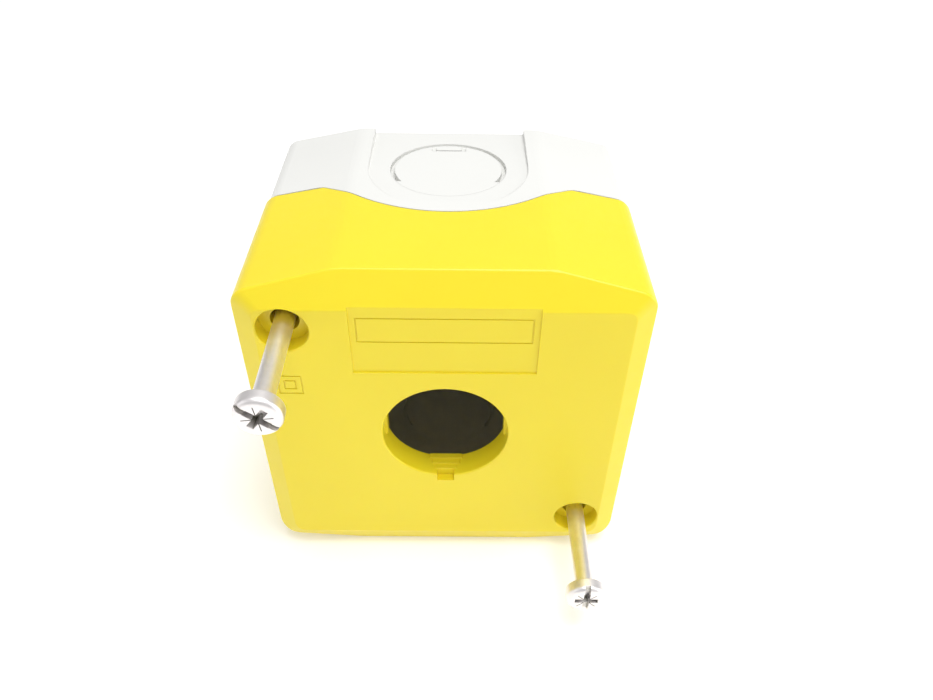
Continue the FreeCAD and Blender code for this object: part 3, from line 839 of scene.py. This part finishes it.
@dataclass
class ThreadedInsert:
    """The brass insert in a boss: a broken mouth, a waist between two bands and a thread inside."""

    corner: Corner
    bore_radius: float = 2.28 * MM
    mouth: float = 0.3 * MM
    waist_half: float = 0.5 * MM
    waist_depth: float = 0.35 * MM
    edge: float = 0.15 * MM
    thread: Thread = field(default_factory=lambda: Thread(
        root_radius=2.28 * MM, crest_radius=2.06 * MM, flank_half=0.3 * MM))

    def make(self, finisher: Finisher) -> bpy.types.Object:
        """Turn, thread, dress and place the insert.

        Args:
            finisher: What dresses it.

        Returns:
            The finished insert.
        """
        node = f"{self.corner.value}_insert"
        low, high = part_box(node)
        centre = (low + high) / 2
        outer = (high.x - low.x) / 2
        half = (high.y - low.y) / 2
        bore = self.bore_radius
        right = [
            (bore + self.mouth, half),
            (outer - self.edge, half),
            (outer, half - self.edge),
            (outer, self.waist_half + self.waist_depth),
            (outer - self.waist_depth, self.waist_half),
        ]
        outline = right + [(radius, -height) for radius, height in reversed(right)]
        outline += [(bore, -half + self.mouth), (bore, half - self.mouth), right[0]]
        piece = lathe(f"{node}_turned", outline)
        turns = int((2 * half - 2 * self.mouth) / self.thread.pitch) - 1
        start = half - self.mouth - self.thread.pitch / 2
        combine(piece, self.thread.ridge("insert_ridge", start, turns), "UNION")
        closed(piece)
        smooth(piece)
        finisher.dress(piece, Slot.BRASS)
        face_forwards(piece, centre)
        hand_over(piece, node, "base")
        return piece


@dataclass
class Mouldings:
    """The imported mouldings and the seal, which keep their shapes."""

    slots: dict[str, Slot] = field(default_factory=lambda: {
        "lid": Slot.YELLOW_PLASTIC,
        "lid_gasket": Slot.SEAL_RUBBER,
        "base": Slot.GREY_PLASTIC,
        "upper_knockout": Slot.GREY_PLASTIC,
        "lower_knockout": Slot.GREY_PLASTIC,
    })

    def dress(self, finisher: Finisher) -> None:
        """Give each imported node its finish.

        Args:
            finisher: What dresses them.
        """
        for node, slot in self.slots.items():
            finisher.dress(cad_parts[node], slot)
            log.info("%s keeps its packed shape", node)


# ---------------------------------------------------------------- studio


@dataclass(frozen=True)
class Softbox:
    """A square area light aimed at the object."""

    name: str
    place: tuple[float, float, float]
    size: float
    watts: float
    colour: tuple[float, float, float] = (1, 1, 1)

    def add(self, target: Vector) -> None:
        """Hang the light and aim it.

        Args:
            target: The point it is aimed at.
        """
        data = bpy.data.lights.new(self.name, "AREA")
        data.shape = "SQUARE"
        data.size = self.size
        data.energy = self.watts
        data.color = self.colour
        light = bpy.data.objects.new(self.name, data)
        bpy.context.scene.collection.objects.link(light)
        light.location = self.place
        light.rotation_euler = (target - Vector(self.place)).to_track_quat("-Z", "Y").to_euler()


@dataclass
class Studio:
    """A flat white floor, a plain overcast surround and three soft lights."""

    floor_half: float = 1.6
    floor_white: tuple[float, float, float] = (0.90, 0.895, 0.885)
    floor_glow: float = 0.2
    sky_low: float = 0.55
    sky_high: float = 1.0
    sky_strength: float = 0.62
    sky_window: tuple[float, float] = (-0.2, 0.5)
    fibre_per_metre: float = 300
    fibre_shade: float = 0.99
    floor_roughness: float = 0.7
    floor_gloss: float = 0.2
    glow_colour: tuple[float, float, float] = (1, 0.99, 0.97)
    boxes: tuple[Softbox, ...] = (
        Softbox("overhead_box", (0.11, -0.10, 0.62), 0.42, 3.1),
        Softbox("left_box", (-0.55, -0.25, 0.22), 0.4, 0.4),
        Softbox("right_box", (0.60, -0.18, 0.12), 0.4, 1.4),
    )

    def build(self) -> None:
        """Set up the floor, the surround and the lights."""
        centre = (CAD_BOX[0] + CAD_BOX[1]) / 2
        self.floor()
        self.surround()
        for box in self.boxes:
            box.add(centre)

    def floor(self) -> None:
        """A flat pale floor at the foot of the case."""
        bpy.ops.object.select_all(action="DESELECT")
        bpy.ops.mesh.primitive_plane_add(size=2 * self.floor_half, location=(0, 0, CAD_BOX[0].z))
        ground = started("floor")
        settle(ground)
        wiring = Wiring("pale_floor")
        fibres = wiring.noise(scale=self.fibre_per_metre, detail=3)
        dim = tuple(channel * self.fibre_shade for channel in self.floor_white)
        colour = wiring.blend(wiring.spread(fibres, "Fac", 0, 1), "Result", self.floor_white, dim)
        wiring.tree.links.new(colour.outputs[COLOUR_RESULT], wiring.shader.inputs["Base Color"])
        wiring.shader.inputs["Roughness"].default_value = self.floor_roughness
        wiring.shader.inputs["Specular IOR Level"].default_value = self.floor_gloss
        wiring.shader.inputs["Emission Color"].default_value = (*self.glow_colour, 1)
        wiring.shader.inputs["Emission Strength"].default_value = self.floor_glow
        ground.data.materials.append(wiring.material)

    def surround(self) -> None:
        """A white surround, dimmer below than above."""
        world = bpy.data.worlds.new("studio")
        world.use_nodes = True
        bpy.context.scene.world = world
        tree = world.node_tree
        tree.nodes.clear()
        output = tree.nodes.new("ShaderNodeOutputWorld")
        background = tree.nodes.new("ShaderNodeBackground")
        direction = tree.nodes.new("ShaderNodeTexCoord")
        parts = tree.nodes.new("ShaderNodeSeparateXYZ")
        ramp = tree.nodes.new("ShaderNodeMapRange")
        ramp.inputs["From Min"].default_value = self.sky_window[0]
        ramp.inputs["From Max"].default_value = self.sky_window[1]
        ramp.inputs["To Min"].default_value = self.sky_low
        ramp.inputs["To Max"].default_value = self.sky_high
        tree.links.new(direction.outputs["Generated"], parts.inputs["Vector"])
        tree.links.new(parts.outputs["Z"], ramp.inputs["Value"])
        tree.links.new(ramp.outputs["Result"], background.inputs["Color"])
        background.inputs["Strength"].default_value = self.sky_strength
        tree.links.new(background.outputs["Background"], output.inputs["Surface"])


@dataclass(frozen=True)
class Viewpoint:
    """The camera: close in front, looking down on the case."""

    place: tuple[float, float, float] = (0.00233, -0.14818, 0.10405)
    turn_degrees: tuple[float, float, float] = (48.697, -0.757, -0.065)
    lens: float = 29.92
    sensor: float = 36.0
    nearest: float = 0.005
    furthest: float = 20.0

    def build(self) -> None:
        """Add the camera and make it the scene's own."""
        data = bpy.data.cameras.new("camera")
        data.lens = self.lens
        data.sensor_width = self.sensor
        data.clip_start = self.nearest
        data.clip_end = self.furthest
        camera = bpy.data.objects.new("camera", data)
        bpy.context.scene.collection.objects.link(camera)
        camera.location = self.place
        camera.rotation_euler = [math.radians(angle) for angle in self.turn_degrees]
        bpy.context.scene.camera = camera


# ---------------------------------------------------------------- assembly


def main() -> None:
    """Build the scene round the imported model."""
    logging.basicConfig(level=logging.INFO, format="%(name)s: %(message)s")
    bpy.context.scene.view_settings.view_transform = "Standard"
    Viewpoint().build()
    Studio().build()
    finisher = Finisher()
    Mouldings().dress(finisher)
    for corner, turn in SLOT_TURNS.items():
        CaptiveScrew(corner, turn).make(finisher)
        RetainingWasher(corner).make(finisher)
        ThreadedInsert(corner).make(finisher)


if __name__ == "__main__":
    main()
